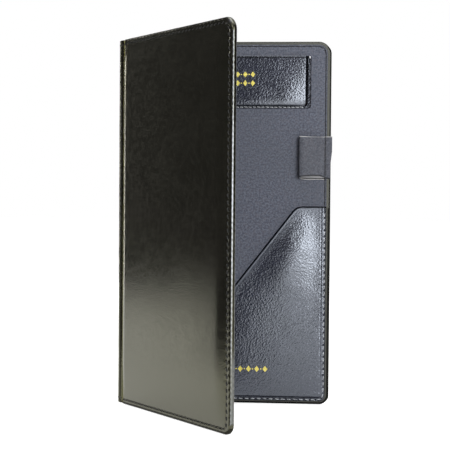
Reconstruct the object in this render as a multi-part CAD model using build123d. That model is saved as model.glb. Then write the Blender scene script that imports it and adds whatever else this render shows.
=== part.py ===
"""Guest check presenter: a padded two-panel folder that stands on its bottom edge like a book.

The folder is drawn lying open and flat, its inner faces up at Z = 0 and its height along +Y, with
the back cover to the right of the back crease and the front cover to the left of the spine.  The
spine and the front cover are then folded up about the two creases, the folder is stood on its
bottom edge, and its footprint is centred on the origin.  Millimetres, +Z up.
"""
from build123d import *
import os
from math import atan2, tan

# ---------------------------------------------------------------- driving dimensions
# covers
cover_width = 124.5         # crease to free edge
cover_height = 228.6        # bottom edge to top edge
top_corner_radius = 7.5     # free corners, seen square on
bottom_corner_radius = 5.5
crease_corner_radius = 1.5  # corners beside the crease

# layers of a cover, from the inner face outward
lining_thickness = 0.5
turn_in_thickness = 0.3     # skin edge, pared thin and turned in under the lining
board_thickness = 2.0
skin_thickness = 0.7
padding_thickness = 1.2

turn_in_width = 12.0        # how far the skin edge reaches in over the board
lining_inset = 2.0          # border of skin left bare round the lining
padding_inset = 4.5         # the padding stops inside the perimeter seam
padding_shoulder = 7.0      # width of the slope round the padding
padding_edge = 0.05         # what is left of its thickness at the edge
padding_corner_radius = 9.0
padding_round = 30.0        # rounding where the slope meets the crown
rim_radius = 1.3            # outer rim of the skin
inner_rim_radius = 0.5      # inner rim of the skin

# spine and creases
spine_width = 9.5           # crease axis to crease axis
spine_bulge = 6.4           # how far the soft spine stands out between the creases
groove_width = 2.0          # crease axis to the board's flank
crease_clearance = 0.25     # between the spine's bead and the covers' skins
crease_relief = 1.0         # the linings stop this far from a crease axis
opening_angle = 52.0        # between the covers as the folder stands

# card pocket, high on the back cover
card_pocket_width = 101.6
card_pocket_height = 33.0
card_pocket_side_gap = 12.2   # free edge to pocket
card_pocket_top_gap = 9.0     # top edge to pocket
card_pocket_radius = 2.0      # its lower corners
card_slot_depth = 1.2         # room for a card 0.8 thick
card_flange = 2.7             # sewn border of the pocket
card_step = 1.4               # width of the step from border to panel

# check pocket, lower part of the back cover
check_pocket_height = 125.0   # bottom edge of the cover to the level part of the mouth
check_level_width = 20.8      # free edge to the start of the diagonal mouth
check_diagonal_foot = 7.4     # crease to the diagonal's foot, at the bottom edge of the cover
check_mouth_radius = 8.0      # rounding between the level and the diagonal mouth
check_slot_depth = 0.9
check_flange = 2.2            # sewn border of the pocket
check_step = 1.2              # width of the step from border to panel
check_hem_width = 3.8         # turned edge along the mouth
check_hem_rise = 0.3

# pen loop, a folded strip sewn to the free edge
loop_height = 26.6
loop_top_gap = 59.6           # top edge to loop
loop_width = 19.8             # free edge to the strip's fold
loop_bore_depth = 5.2         # inside the tube at its fullest
loop_ply = 0.7
loop_tail = 4.2               # width over which the two plies are sewn together
loop_lean = 6.0               # how far the tube leans in between its tail and its crest
loop_crest_radius = 7.0       # bend above the tail
loop_fold_radius = 2.2        # bend at the strip's fold
loop_heel_radius = 1.4        # bend where the tube meets the lining

pocket_skin = 0.7             # leatherette of both pockets
lip_radius = 0.3              # softened mouth edges
overshoot = 5.0               # how far a cut runs past an open edge

# ---------------------------------------------------------------- derived sizes
lining_low = -lining_thickness
board_top = lining_low - turn_in_thickness
board_low = board_top - board_thickness
rim_low = board_low - skin_thickness
hinge_low = lining_low - skin_thickness
bead_radius = -hinge_low / 2
crease_level = hinge_low / 2
crease_fold = (180 - opening_angle) / 2
spine_leg = spine_bulge - spine_width / 2      # straight sides of the spine's rounded back
spine_centre = (-spine_width / 2, crease_level - spine_leg)


# ---------------------------------------------------------------- helpers
def slab(face, low, high):
    """A face drawn on the XY plane, extruded to fill Z = low to high."""
    return extrude(Pos(0, 0, low) * face, high - low)


def strip(section, low, high):
    """A section drawn in X and Z, extruded to fill Y = low to high."""
    return extrude(Pos(0, high, 0) * (Plane.XZ * section), high - low)


def round_corners(face, corners):
    """Round the corners of a face; corners are (x, y, radius)."""
    for x, y, radius in corners:
        if radius > 0:
            vertex = face.vertices().sort_by_distance(Vector(x, y, 0))[0]
            face = fillet(vertex, radius)
    return face


def box_face(left, right, low, high, radii=(0, 0, 0, 0)):
    """Rectangle with radii at its lower left, lower right, upper right and upper left corners."""
    face = Pos((left + right) / 2, (low + high) / 2) * Rectangle(right - left, high - low)
    corners = [(left, low), (right, low), (right, high), (left, high)]
    return round_corners(face, [(x, y, radius) for (x, y), radius in zip(corners, radii)])


def cover_face(inset, left):
    """Outline of a cover, inset from its free, top and bottom edges, starting at X = left."""
    radii = (crease_corner_radius - inset, bottom_corner_radius - inset,
             top_corner_radius - inset, crease_corner_radius - inset)
    return box_face(left, cover_width - inset, inset, cover_height - inset, radii)


def crown(level, rise, grow):
    """Padded crown that stands a rise below a level, with a long rounded shoulder all round."""
    inset = padding_inset - grow
    radii = [padding_corner_radius] * 4
    face = box_face(groove_width + inset, cover_width - inset, inset, cover_height - inset, radii)
    block = slab(face, level - rise, level)
    block = chamfer(block.edges().group_by(Axis.Z)[0], rise - padding_edge, padding_shoulder)
    return fillet(block.edges().group_by(Axis.Z)[0], padding_round)


def one_solid(shape):
    """The single solid that a node is made of."""
    return shape.solids().sort_by(SortBy.VOLUME)[-1]


# ---------------------------------------------------------------- cover pieces
def make_board():
    """Stiff board inside the cover's skin."""
    return slab(cover_face(skin_thickness, groove_width + skin_thickness), board_low, board_top)


def make_padding():
    """Foam pad between the board and the skin."""
    return crown(board_low, padding_thickness, 0.0)


def window_face():
    """Opening left between the skin's turned-in edges, down to the board."""
    return box_face(groove_width + skin_thickness, cover_width - turn_in_width,
                    turn_in_width, cover_height - turn_in_width)


def make_cover_skin():
    """Leatherette wrapped round board and padding, with its edges turned in and its hinge strip."""
    body = slab(cover_face(0.0, groove_width), rim_low, lining_low)
    body = fillet(body.edges().group_by(Axis.Z)[0], rim_radius)
    body = fillet(body.edges().group_by(Axis.Z)[-1], inner_rim_radius)
    body += crown(rim_low, padding_thickness, skin_thickness / 2)
    hinge_face = box_face(0.0, groove_width + skin_thickness, 0.0, cover_height)
    body += slab(hinge_face, hinge_low, lining_low)
    body -= make_board()
    body -= make_padding()
    body -= slab(window_face(), board_top, lining_low)
    reach = bead_radius + crease_clearance
    socket = Pos(0, crease_level) * Circle(reach) + Pos(0, crease_level - reach / 2) * Rectangle(2 * reach, reach)
    body -= strip(socket, 0.0, cover_height)
    return one_solid(body)


def make_cover_lining():
    """Lining sheet, thicker in the window so that it lies on the board and on the turned-in skin."""
    radii = (0, bottom_corner_radius - lining_inset, top_corner_radius - lining_inset, 0)
    face = box_face(crease_relief, cover_width - lining_inset,
                    lining_inset, cover_height - lining_inset, radii)
    return slab(face, lining_low, 0.0) + slab(window_face(), board_top, lining_low)


# ---------------------------------------------------------------- spine pieces
def rounded_back(radius):
    """Section of the spine: straight sides out from the creases, joined by a half round."""
    sides = Pos(spine_centre[0], crease_level - spine_leg / 2) * Rectangle(2 * radius, spine_leg)
    return Pos(*spine_centre) * Circle(radius) - Pos(*spine_centre) * half_above(radius) + sides


def half_above(radius):
    """Rectangle that covers the half of a circle on its lining side."""
    return Pos(0, radius / 2) * Rectangle(2 * radius, radius)


def make_spine_skin():
    """Rounded strip of leatherette with a bead along each crease."""
    half = spine_width / 2 + bead_radius
    section = rounded_back(half) - rounded_back(half - skin_thickness)
    for x in (-spine_width, 0.0):
        section += Pos(x, crease_level) * Circle(bead_radius)
    return one_solid(strip(section, 0.0, cover_height))


def make_spine_padding():
    """Foam that fills the spine's rounded back behind its lining."""
    fill = rounded_back(spine_width / 2 + bead_radius - skin_thickness)
    neck_low = crease_level - bead_radius - crease_clearance
    depth = lining_low - neck_low
    sides = Pos(spine_centre[0], neck_low + depth / 2) * Rectangle(2 * spine_width, depth)
    neck = Pos(spine_centre[0], neck_low + depth / 2) * Rectangle(spine_width - 2 * crease_relief, depth)
    return one_solid(strip(fill - sides + neck, lining_inset, cover_height - lining_inset))


def make_spine_lining():
    """Lining strip in the gutter between the covers."""
    face = box_face(-spine_width + crease_relief, -crease_relief, lining_inset, cover_height - lining_inset)
    return slab(face, lining_low, 0.0)


# ---------------------------------------------------------------- pockets and pen loop
def make_card_pocket():
    """Leatherette pocket sewn down on three sides, open at the top for a card."""
    right = cover_width - card_pocket_side_gap
    left = right - card_pocket_width
    top = cover_height - card_pocket_top_gap
    low = top - card_pocket_height
    radii = (card_pocket_radius, card_pocket_radius, 0, 0)
    border = slab(box_face(left, right, low, top, radii), 0.0, pocket_skin)

    def raised(inset, height, beyond):
        """Block with stepped-in left, right and lower sides."""
        face = box_face(left + inset, right - inset, low + inset, top + beyond)
        block = slab(face, 0.0, height)
        rim = block.edges().group_by(Axis.Z)[-1]
        rim -= rim.group_by(Axis.Y)[-1]
        return chamfer(rim, height * 0.9, card_step)

    panel = raised(card_flange, card_slot_depth + pocket_skin, 0.0)
    slot = raised(card_flange + pocket_skin, card_slot_depth, overshoot)
    pocket = border + panel - slot
    lip = pocket.edges().filter_by(Axis.X).group_by(Axis.Y)[-1].sort_by(Axis.Z)[-1]
    return one_solid(fillet(lip, lip_radius))


def check_face(sewn, mouth):
    """Outline of the check pocket, inset from its sewn sides and from its mouth."""
    right = cover_width - lining_inset - sewn
    low = lining_inset + sewn
    angle = atan2(check_pocket_height, cover_width - check_level_width - check_diagonal_foot)
    turn_x = cover_width - check_level_width + mouth * tan(angle / 2)
    turn_y = check_pocket_height - mouth
    foot_x = turn_x - (turn_y - low) / tan(angle)
    outline = Polyline((foot_x, low), (right, low), (right, turn_y), (turn_x, turn_y), close=True)
    corners = [(right, low, bottom_corner_radius - lining_inset - sewn),
               (turn_x, turn_y, check_mouth_radius - mouth)]
    return round_corners(make_face(outline), corners)


def make_check_pocket():
    """Leatherette pocket sewn down on two sides, with a turned edge along its slanting mouth."""
    border = slab(check_face(0.0, 0.0) - check_face(check_flange, -overshoot), 0.0, pocket_skin)
    height = check_slot_depth + pocket_skin
    block = slab(check_face(check_flange, 0.0), 0.0, height)
    rim = block.edges().group_by(Axis.Z)[-1]
    sewn_rim = [rim.sort_by(Axis.X)[-1], rim.sort_by(Axis.Y)[0]]
    block = chamfer(sewn_rim, height * 0.6, check_step)
    inner = check_flange + check_step
    slot = slab(check_face(inner, -overshoot), 0.0, check_slot_depth)
    hem = slab(check_face(inner, 0.0) - check_face(inner, check_hem_width), height, height + check_hem_rise)
    return one_solid(border + block + hem - slot)


def make_pen_loop():
    """Strip folded into a flattened tube, its two plies sewn down along the free edge."""
    fold = cover_width - loop_width + loop_ply
    seam = cover_width - loop_tail
    crest = loop_ply + loop_bore_depth
    corners = [(seam, loop_ply), (seam - loop_lean, crest), (fold, crest), (fold, loop_ply)]
    radii = [0, loop_crest_radius, loop_fold_radius, loop_heel_radius]
    outline = make_face(Polyline(*corners, close=True))
    bore = round_corners(outline, [(x, z, radius) for (x, z), radius in zip(corners, radii)])
    tube = offset(bore, loop_ply, kind=Kind.ARC)
    tail_left = seam - loop_tail
    tail = box_face(tail_left, cover_width, 0.0, 2 * loop_ply)
    room = box_face(fold - loop_width, cover_width, 0.0, 2 * crest)
    top = cover_height - loop_top_gap
    low = top - loop_height
    solid = strip((tube + tail) & room, low, top) - strip(bore, low - overshoot, top + overshoot)
    return one_solid(solid)


# ---------------------------------------------------------------- assembly
middle = Plane.YZ.offset(-spine_width / 2)
back_cover = {
    "back_skin": make_cover_skin(),
    "back_padding": make_padding(),
    "back_board": make_board(),
    "back_lining": make_cover_lining(),
    "card_pocket": make_card_pocket(),
    "check_pocket": make_check_pocket(),
    "pen_loop": make_pen_loop(),
}
spine = {
    "spine_skin": make_spine_skin(),
    "spine_padding": make_spine_padding(),
    "spine_lining": make_spine_lining(),
}
front_cover = {
    "front_skin": mirror(back_cover["back_skin"], middle),
    "front_padding": mirror(back_cover["back_padding"], middle),
    "front_board": mirror(back_cover["back_board"], middle),
    "front_lining": mirror(back_cover["back_lining"], middle),
}


def fold_about(x, angle):
    """Turn about the crease at X = x; a positive angle lifts what lies to its left."""
    return Pos(x, 0, crease_level) * Rot(0, angle, 0) * Pos(-x, 0, -crease_level)


stand = Rot(90, 0, 0)
back_fold = fold_about(0.0, crease_fold)
front_fold = back_fold * fold_about(-spine_width, crease_fold)
nodes = {}
for pieces, place in ((back_cover, stand), (spine, stand * back_fold), (front_cover, stand * front_fold)):
    for name, piece in pieces.items():
        nodes[name] = place * piece

footprint = Compound(list(nodes.values())).bounding_box()
centre = Pos(-footprint.center().X, -footprint.center().Y, 0)

os.makedirs("parts", exist_ok=True)
for name, piece in nodes.items():
    export_step(centre * piece, os.path.join("parts", name + ".step"))

back_axis = centre * stand * Pos(0, 0, crease_level)
front_axis = centre * stand * back_fold * Pos(-spine_width, 0, crease_level)
print("size", footprint.size)
print("back crease", back_axis.position, "front crease", front_axis.position)
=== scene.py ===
"""Looks of the guest check presenter: padded covers, spine, linings, pockets, pen loop and stitching.

Pieces are drawn in millimetres in the flat frame of the part that carries them: x from its crease
towards the free edge, y up the folder, h above the lining's face (negative towards the outside).
place() stands them up in the row frame.
"""
import math
import bpy
import numpy as np
from mathutils import Matrix, Vector


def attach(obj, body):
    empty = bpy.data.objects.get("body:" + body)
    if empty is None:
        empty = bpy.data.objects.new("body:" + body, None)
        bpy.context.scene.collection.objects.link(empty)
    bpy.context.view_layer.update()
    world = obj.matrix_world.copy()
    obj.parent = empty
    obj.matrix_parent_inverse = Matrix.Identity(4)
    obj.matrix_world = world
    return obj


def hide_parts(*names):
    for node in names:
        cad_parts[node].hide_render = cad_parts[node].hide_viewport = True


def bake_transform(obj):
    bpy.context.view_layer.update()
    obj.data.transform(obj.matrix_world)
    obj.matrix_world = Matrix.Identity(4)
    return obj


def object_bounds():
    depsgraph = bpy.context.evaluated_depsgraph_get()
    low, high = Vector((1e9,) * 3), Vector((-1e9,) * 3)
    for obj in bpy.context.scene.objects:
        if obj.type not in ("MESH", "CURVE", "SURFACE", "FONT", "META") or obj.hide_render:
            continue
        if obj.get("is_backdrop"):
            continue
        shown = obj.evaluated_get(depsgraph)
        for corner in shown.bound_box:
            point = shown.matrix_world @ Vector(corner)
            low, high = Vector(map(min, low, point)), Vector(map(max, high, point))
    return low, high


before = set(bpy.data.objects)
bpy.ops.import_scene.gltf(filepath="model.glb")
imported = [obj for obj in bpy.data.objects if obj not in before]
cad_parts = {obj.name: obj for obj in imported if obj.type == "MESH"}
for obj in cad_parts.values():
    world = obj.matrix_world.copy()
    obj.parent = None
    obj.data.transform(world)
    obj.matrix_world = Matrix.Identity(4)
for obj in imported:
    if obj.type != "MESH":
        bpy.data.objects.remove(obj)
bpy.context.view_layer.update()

# ---------------------------------------------------------------- sizes, in mm
MM = 0.001
WIDTH, HEIGHT = 124.5, 228.6        # cover, crease to free edge and bottom to top
GROOVE = 2.0                        # crease axis to the cover's flank
FLANK = GROOVE + 1.0                # the seam's marks on a cover begin here
CREASE = -0.6                       # level of the crease axes
SPINE = 9.5                         # crease axis to crease axis
SEAM = 3.0                          # perimeter seam, in from the edge
PITCH = 3.8                         # stitch length
RIM = -3.5                          # outer level of the skin at its edge
RIM_ROUND, INNER_ROUND = 1.3, 0.5   # rounds of the cover's rim, outside and inside
SKIN = 0.7                          # thickness of the leatherette
REST = 0.02                         # underside of a pocket that rests on the lining
SUNK = 0.16                         # how far a seam sinks into the lining
LINING_EDGE = 2.0                   # lining's inset from the cover's edge
EDGE_RADII = (1.5, 5.5, 7.5, 1.5)   # lower left, lower right, upper right, upper left

BACK_AXIS = np.array((-57.7924, 51.9033))
FRONT_AXIS = np.array((-61.9569, 43.3647))
FRAMES = {                          # origin, direction of x, direction of h
    "back_cover": (BACK_AXIS, (1.0, 0.0), (0.0, -1.0)),
    "front_cover": (FRONT_AXIS, (0.61566, -0.78801), (0.78801, 0.61566)),
    "spine": (BACK_AXIS, (0.43837, 0.89879), (0.89879, -0.43837)),
}
COVER_BOX = (GROOVE, WIDTH, 0.0, HEIGHT)
LINING_BOX = (1.0, WIDTH - LINING_EDGE, LINING_EDGE, HEIGHT - LINING_EDGE)
ACROSS, UP = 50, 96                 # points across and up a cover's ring

CARD = (10.7, 112.3, 186.6, 219.6)  # card pocket: left, right, bottom, top
CARD_BORDER, CARD_TAIL = 2.62, 1.3  # its sewn border at the sides, and below
CARD_ROUND, CHECK_ROUND = 2.0, 3.5  # lower corners of the card pocket and of the check pocket
TAIL_PITCH = 2.7                    # stitch length along the card pocket's foot
MOUTH_X, MOUTH_Y = WIDTH - 20.8, 125.0  # corner of the check pocket's mouth
MOUTH_FOOT = 7.4                    # where the mouth's slant meets the bottom edge
MOUTH_RADIUS = 8.0                  # round at the mouth's corner
HEM = 3.8                           # width of the turned edge along the mouth
FLANGE = 0.66                       # level of the check pocket's sewn border
LOOP_TAIL = 1.38                    # level of the pen loop's sewn tail
LOOP_FOLD = 105.15                  # x of the pen loop's fold
LOOP_LOW, LOOP_HIGH = 142.4, 169.0  # foot and head of the pen loop


def place(points, body):
    """Points (x, y, h) of a body's flat frame, in the row frame."""
    origin, along, inward = (np.array(v) for v in FRAMES[body])
    flat = origin + np.outer(points[:, 0], along) + np.outer(points[:, 2] - CREASE, inward)
    return np.column_stack((flat, points[:, 1]))


# ---------------------------------------------------------------- plain curves
def bell(distance, width):
    """1 at no distance, falling away over the width."""
    return np.exp(-(distance / width) ** 2)


def unit(t):
    return np.clip(t, 0, 1)


def step_up(d, at, width):
    """0 up to a place, easing to 1 over the width."""
    t = unit((d - at) / width)
    return t * t * (3 - 2 * t)


def quarter(t, width):
    """0 at t 0, rounding up to 1 at the width."""
    return np.sqrt(1 - (1 - unit(t / width)) ** 2)


def soft_clip(t, width):
    """t above 0 and 0 below it, rounded over the width."""
    return width * np.logaddexp(0.0, t / width)


def smooth_min(a, b, k):
    """Minimum of two distances, rounded where they meet."""
    share = unit(0.5 + 0.5 * (b - a) / k)
    return b * (1 - share) + a * share - k * share * (1 - share)


def between(value, low, high):
    return (value > low) & (value < high)


# ---------------------------------------------------------------- node materials
class Shader:
    """A node material with a Principled shader, whose textures lie on the piece's own flat frame, in mm."""

    def __init__(self, name, **values):
        self.material = bpy.data.materials.new(name)
        self.material.use_nodes = True
        self.tree = self.material.node_tree
        self.tree.nodes.clear()
        self.shader = self.node("ShaderNodeBsdfPrincipled")
        output = self.node("ShaderNodeOutputMaterial")
        self.tree.links.new(self.shader.outputs[0], output.inputs[0])
        for key, value in values.items():
            self.set(self.shader, key.replace("_", " "), value)
        self.flat, self.shade, self.plain, self.pale = (
            self.node("ShaderNodeAttribute", attribute_name=key).outputs[kind]
            for key, kind in (("flat", "Vector"), ("shade", "Fac"), ("plain", "Fac"), ("pale", "Fac")))

    def set(self, node, key, value):
        socket = node.inputs[key]
        if isinstance(value, bpy.types.NodeSocket):
            self.tree.links.new(value, socket)
        elif isinstance(value, tuple) and len(value) == 3 and socket.type == "RGBA":
            socket.default_value = (*value, 1.0)
        else:
            socket.default_value = value

    def node(self, kind, inputs=None, **settings):
        made = self.tree.nodes.new(kind)
        for key, value in settings.items():
            setattr(made, key, value)
        for key, value in (inputs or {}).items():
            self.set(made, key, value)
        return made

    def math(self, operation, a, b=0.0, clamp=False):
        return self.node("ShaderNodeMath", {0: a, 1: b}, operation=operation, use_clamp=clamp).outputs[0]

    def ramp(self, value, low, high, start=0.0, end=1.0):
        """Value from low..high, eased to start..end."""
        made = self.node("ShaderNodeMapRange", {"Value": value, "From Min": low, "From Max": high,
                                                "To Min": start, "To Max": end})
        made.interpolation_type = "SMOOTHSTEP"
        return made.outputs[0]

    def mix(self, share, a, b):
        made = self.node("ShaderNodeMix", data_type="RGBA")
        made.inputs[0].default_value = 0.0
        self.set(made, 0, share)
        self.set(made, 6, a)
        self.set(made, 7, b)
        return made.outputs[2]

    def stretched(self, scale, turn=0.0):
        """The flat frame scaled, after a turn about h."""
        made = self.node("ShaderNodeMapping", {"Vector": self.flat, "Scale": scale})
        made.inputs["Rotation"].default_value = (0.0, 0.0, math.radians(turn))
        return made.outputs[0]

    def noise(self, scale, detail=2.0, vector=None, roughness=0.5):
        made = self.node("ShaderNodeTexNoise", {"Vector": vector or self.flat, "Scale": scale,
                                                "Detail": detail, "Roughness": roughness})
        return made.outputs["Fac"]

    def cells(self, scale, vector=None):
        made = self.node("ShaderNodeTexVoronoi", {"Vector": vector or self.flat, "Scale": scale})
        return made.outputs["Distance"]

    def bump(self, height, depth, strength=1.0, below=None):
        """Surface relief, depth in metres."""
        made = self.node("ShaderNodeBump", {"Height": height, "Distance": depth, "Strength": strength})
        if below is not None:
            self.tree.links.new(below, made.inputs["Normal"])
        return made.outputs[0]

    def finish(self, colour=None, roughness=None, normal=None, metallic=None):
        links = {"Base Color": colour, "Roughness": roughness, "Normal": normal, "Metallic": metallic}
        for key, value in links.items():
            if value is not None:
                self.set(self.shader, key, value)
        return self.material


def leatherette(name, dark, light, gloss, grain, fine, crease_depth, **values):
    """Embossed leatherette: pebbled grain, fine pores, soft drag wrinkles; painted shade where shade marks it,
    painted highlight and paler tone where pale marks it.
    """
    s = Shader(name, **values)
    warp = s.node("ShaderNodeVectorMath", {0: s.flat, 1: s.node(
        "ShaderNodeTexNoise", {"Vector": s.flat, "Scale": 0.9}).outputs["Color"]}, operation="ADD").outputs[0]
    pebble = s.cells(1.0 / grain, warp)
    pores = s.noise(3.2 / grain, 3.0)
    drag = s.noise(1.0, 2.0, s.stretched((0.14, 1.1, 0.3), 48.0))
    blotch = s.noise(0.045, 3.0)
    rubbed = s.noise(0.35, 4.0)
    rough_share = s.math("SUBTRACT", 1.0, s.math("MULTIPLY", s.plain, 0.9))
    relief = s.math("MULTIPLY", s.math("ADD", pebble, s.math("MULTIPLY", pores, 0.35)), rough_share)
    normal = s.bump(relief, fine)
    normal = s.bump(drag, crease_depth, 1.0, normal)
    tone = s.math("ADD", s.math("MULTIPLY", blotch, 0.7), s.math("MULTIPLY", pebble, 0.45))
    colour = s.mix(s.ramp(tone, 0.25, 0.95), dark, light)
    # painted highlight and paler tone where pale marks it, then painted shade where shade marks it
    colour = s.mix(s.pale, colour, (0.62, 0.65, 0.74))
    colour = s.mix(s.shade, colour, (0.002, 0.002, 0.002))
    rough = s.ramp(rubbed, 0.3, 0.7, gloss - 0.03, gloss + 0.04)
    rough = s.math("ADD", rough, s.math("MULTIPLY", s.shade, 0.12))
    rough = s.math("ADD", rough, s.math("MULTIPLY", s.math("MAXIMUM", s.plain, s.pale), 0.24), True)
    # painted shade takes the reflection away too: a black metal reflects nothing, as a deep hole does
    return s.finish(colour, rough, normal, s.math("MULTIPLY", s.shade, 1.0, True))


def lining_cloth(name, dark, light):
    """Close matt lining with a fine fleck and an even tooth."""
    s = Shader(name, Specular_IOR_Level=0.3)
    fleck = s.noise(0.85, 3.0, None, 0.75)
    cloud = s.noise(0.03, 3.0)
    hue = s.noise(0.5, 3.0)
    tooth = s.cells(2.6)
    colour = s.mix(s.ramp(fleck, 0.35, 0.68), dark, light)
    colour = s.mix(s.ramp(hue, 0.35, 0.75, 0.0, 0.35), colour, (0.118, 0.104, 0.118))
    colour = s.mix(s.ramp(cloud, 0.3, 0.7, 0.0, 0.25), colour, (0.088, 0.096, 0.112))
    # the pen loop's pale backing and painted highlights where pale marks it, painted shade where shade marks it
    colour = s.mix(s.pale, colour, (0.62, 0.61, 0.60))
    colour = s.mix(s.shade, colour, (0.003, 0.003, 0.003))
    normal = s.bump(s.math("ADD", fleck, tooth), 0.00004)
    return s.finish(colour, s.ramp(fleck, 0.3, 0.7, 0.62, 0.78), normal)


def sewing_thread(name, dark, light, gloss, level=1.0):
    """Twisted thread: slanting plies along each stitch."""
    s = Shader(name, Specular_IOR_Level=level)
    inputs = {"Vector": s.stretched((1, 1, 1), 45.0), "Scale": 1.4, "Distortion": 0.6}
    ply = s.node("ShaderNodeTexWave", inputs, bands_direction="X").outputs["Fac"]
    colour = s.mix(s.ramp(ply, 0.2, 0.9), dark, light)
    return s.finish(colour, s.ramp(ply, 0.0, 1.0, gloss, gloss + 0.12), s.bump(ply, 0.00006))


def gold_foil(name):
    """Hot-stamped foil, slightly broken by the grain under it."""
    s = Shader(name, Metallic=0.35)
    grain = s.noise(2.4, 3.0)
    colour = s.mix(s.ramp(grain, 0.3, 0.75), (0.62, 0.50, 0.08), (0.93, 0.83, 0.22))
    return s.finish(colour, s.ramp(grain, 0.3, 0.7, 0.28, 0.45), s.bump(grain, 0.00003))


def fibre_board(name):
    s = Shader(name)
    fibre = s.noise(1.0, 5.0, s.stretched((0.3, 2.0, 2.0)))
    return s.finish(s.mix(fibre, (0.20, 0.17, 0.13), (0.33, 0.29, 0.23)), s.ramp(fibre, 0.2, 0.8, 0.8, 0.95),
                    s.bump(fibre, 0.00005))


def open_foam(name):
    s = Shader(name)
    pores = s.cells(1.6)
    return s.finish(s.mix(pores, (0.14, 0.14, 0.14), (0.34, 0.34, 0.33)), s.ramp(pores, 0.0, 0.6, 0.85, 0.95),
                    s.bump(pores, 0.0002))


COVER = leatherette("cover_leatherette", (0.0075, 0.0071, 0.0056), (0.0140, 0.0134, 0.0108), 0.17, 0.72,
                    0.000024, 0.000006, Specular_IOR_Level=0.80, Specular_Tint=(1.0, 0.98, 0.65))
POCKET = leatherette("pocket_leatherette", (0.012, 0.013, 0.019), (0.0285, 0.030, 0.0445), 0.16, 1.15,
                     0.00011, 0.00006, Specular_IOR_Level=1.0, Specular_Tint=(0.84, 0.90, 1.0), IOR=1.55)
LOOP = lining_cloth("loop_cloth", (0.044, 0.048, 0.062), (0.122, 0.127, 0.150))
LINING = lining_cloth("lining_cloth", (0.048, 0.056, 0.081), (0.150, 0.160, 0.198))
THREAD = sewing_thread("black_thread", (0.004, 0.004, 0.004), (0.016, 0.016, 0.016), 0.45, 0.35)
# pale grey thread for stitches of the black thread where they catch the light: a painted highlight
HIGHLIGHT_THREAD = sewing_thread("grey_thread_painted_highlight", (0.42, 0.43, 0.45), (0.80, 0.82, 0.85), 0.32)
# the bar tack's thread, painted near white as a glint
TACK_THREAD = sewing_thread("tack_thread", (0.55, 0.55, 0.56), (0.90, 0.90, 0.91), 0.35)
FOIL = gold_foil("gold_foil")
BOARD = fibre_board("fibre_board")
FOAM = open_foam("open_foam")


# ---------------------------------------------------------------- meshes
def make(name, points, faces, body, material, slot, shade=None, flat=None, plain=None, pale=None):
    """A smooth mesh piece that rides its body, from points in mm in the body's flat frame. Without a body
    they are in the row frame. shade is painted shade, which darkens it and takes its reflection away; plain
    smooths its grain away; pale is painted highlight and painted paler tone, and the pen loop's pale backing
    at its raw edges. A mark shorter than the points leaves the rest of them unmarked."""
    points = np.asarray(points, float)
    placed = place(points, body) if body else points
    mesh = bpy.data.meshes.new(name)
    mesh.from_pydata((placed * MM).tolist(), [], faces)
    mesh.attributes.new("flat", "FLOAT_VECTOR", "POINT").data.foreach_set(
        "vector", np.asarray(points if flat is None else flat, np.float32).ravel())
    for key, share in (("shade", shade), ("plain", plain), ("pale", pale)):
        values = np.zeros(len(points))
        if share is not None:
            values[:np.size(share)] = np.ravel(share)
        mesh.attributes.new(key, "FLOAT", "POINT").data.foreach_set("value", unit(values).astype(np.float32))
    mesh.materials.append(material)
    mesh.validate()
    if volume(mesh) < 0:
        mesh.flip_normals()
    mesh.shade_smooth()
    piece = bpy.data.objects.new(name, mesh)
    bpy.context.collection.objects.link(piece)
    if body:
        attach(piece, body)
    return piece


def volume(mesh):
    """Signed volume of a closed mesh, negative where its faces look inward."""
    mesh.calc_loop_triangles()
    co = np.empty(len(mesh.vertices) * 3)
    mesh.vertices.foreach_get("co", co)
    corners = np.empty(len(mesh.loop_triangles) * 3, int)
    mesh.loop_triangles.foreach_get("vertices", corners)
    a, b, c = co.reshape(-1, 3)[corners.reshape(-1, 3)].transpose(1, 0, 2)
    return float((a * np.cross(b, c)).sum() / 6)


def ring(box, inset, radii, across, up):
    """Closed loop of points on a rounded rectangle, evenly spaced on each side, from its lower left."""
    x0, x1, y0, y1 = box[0] + inset, box[1] - inset, box[2] + inset, box[3] - inset
    centres = [(x0 + radii[0], y0 + radii[0]), (x1 - radii[1], y0 + radii[1]),
               (x1 - radii[2], y1 - radii[2]), (x0 + radii[3], y1 - radii[3])]
    loop = []
    for k, count in enumerate((across, up, across, up)):
        facing = math.radians(-90 + 90 * k)
        (ax, ay), (bx, by) = centres[k], centres[(k + 1) % 4]
        ra, rb = radii[k], radii[(k + 1) % 4]
        normal = np.array((math.cos(facing), math.sin(facing)))
        tangent = np.array((-normal[1], normal[0]))
        straight = float(np.dot((bx - ax, by - ay), tangent))
        first, last = ra * math.pi / 4, rb * math.pi / 4
        t = np.arange(count) / count * (first + straight + last)
        turn = np.where(t < first, facing - math.pi / 4 + t / max(ra, 1e-9),
                        np.where(t < first + straight, facing,
                                 facing + (t - first - straight) / max(rb, 1e-9)))
        at_a = t < first + straight
        centre = np.where(at_a[:, None], (ax, ay), (bx, by))
        radius = np.where(at_a, ra, rb)[:, None]
        slide = np.clip(t - first, 0, straight)[:, None] * tangent * at_a[:, None]
        loop.append(centre + radius * np.column_stack((np.cos(turn), np.sin(turn))) + slide)
    return np.concatenate(loop)


def join_rings(a, b, na, nb):
    """Faces between two loops that start at vertex a and b; one may have twice the other's points."""
    if na == nb:
        return [(a + i, a + (i + 1) % na, b + (i + 1) % nb, b + i) for i in range(na)]
    if na == 2 * nb:
        return [(a + 2 * i, a + 2 * i + 1, a + (2 * i + 2) % na, b + (i + 1) % nb, b + i) for i in range(nb)]
    return [(a + i, a + (i + 1) % na, b + (2 * i + 2) % nb, b + 2 * i + 1, b + 2 * i) for i in range(na)]


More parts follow.
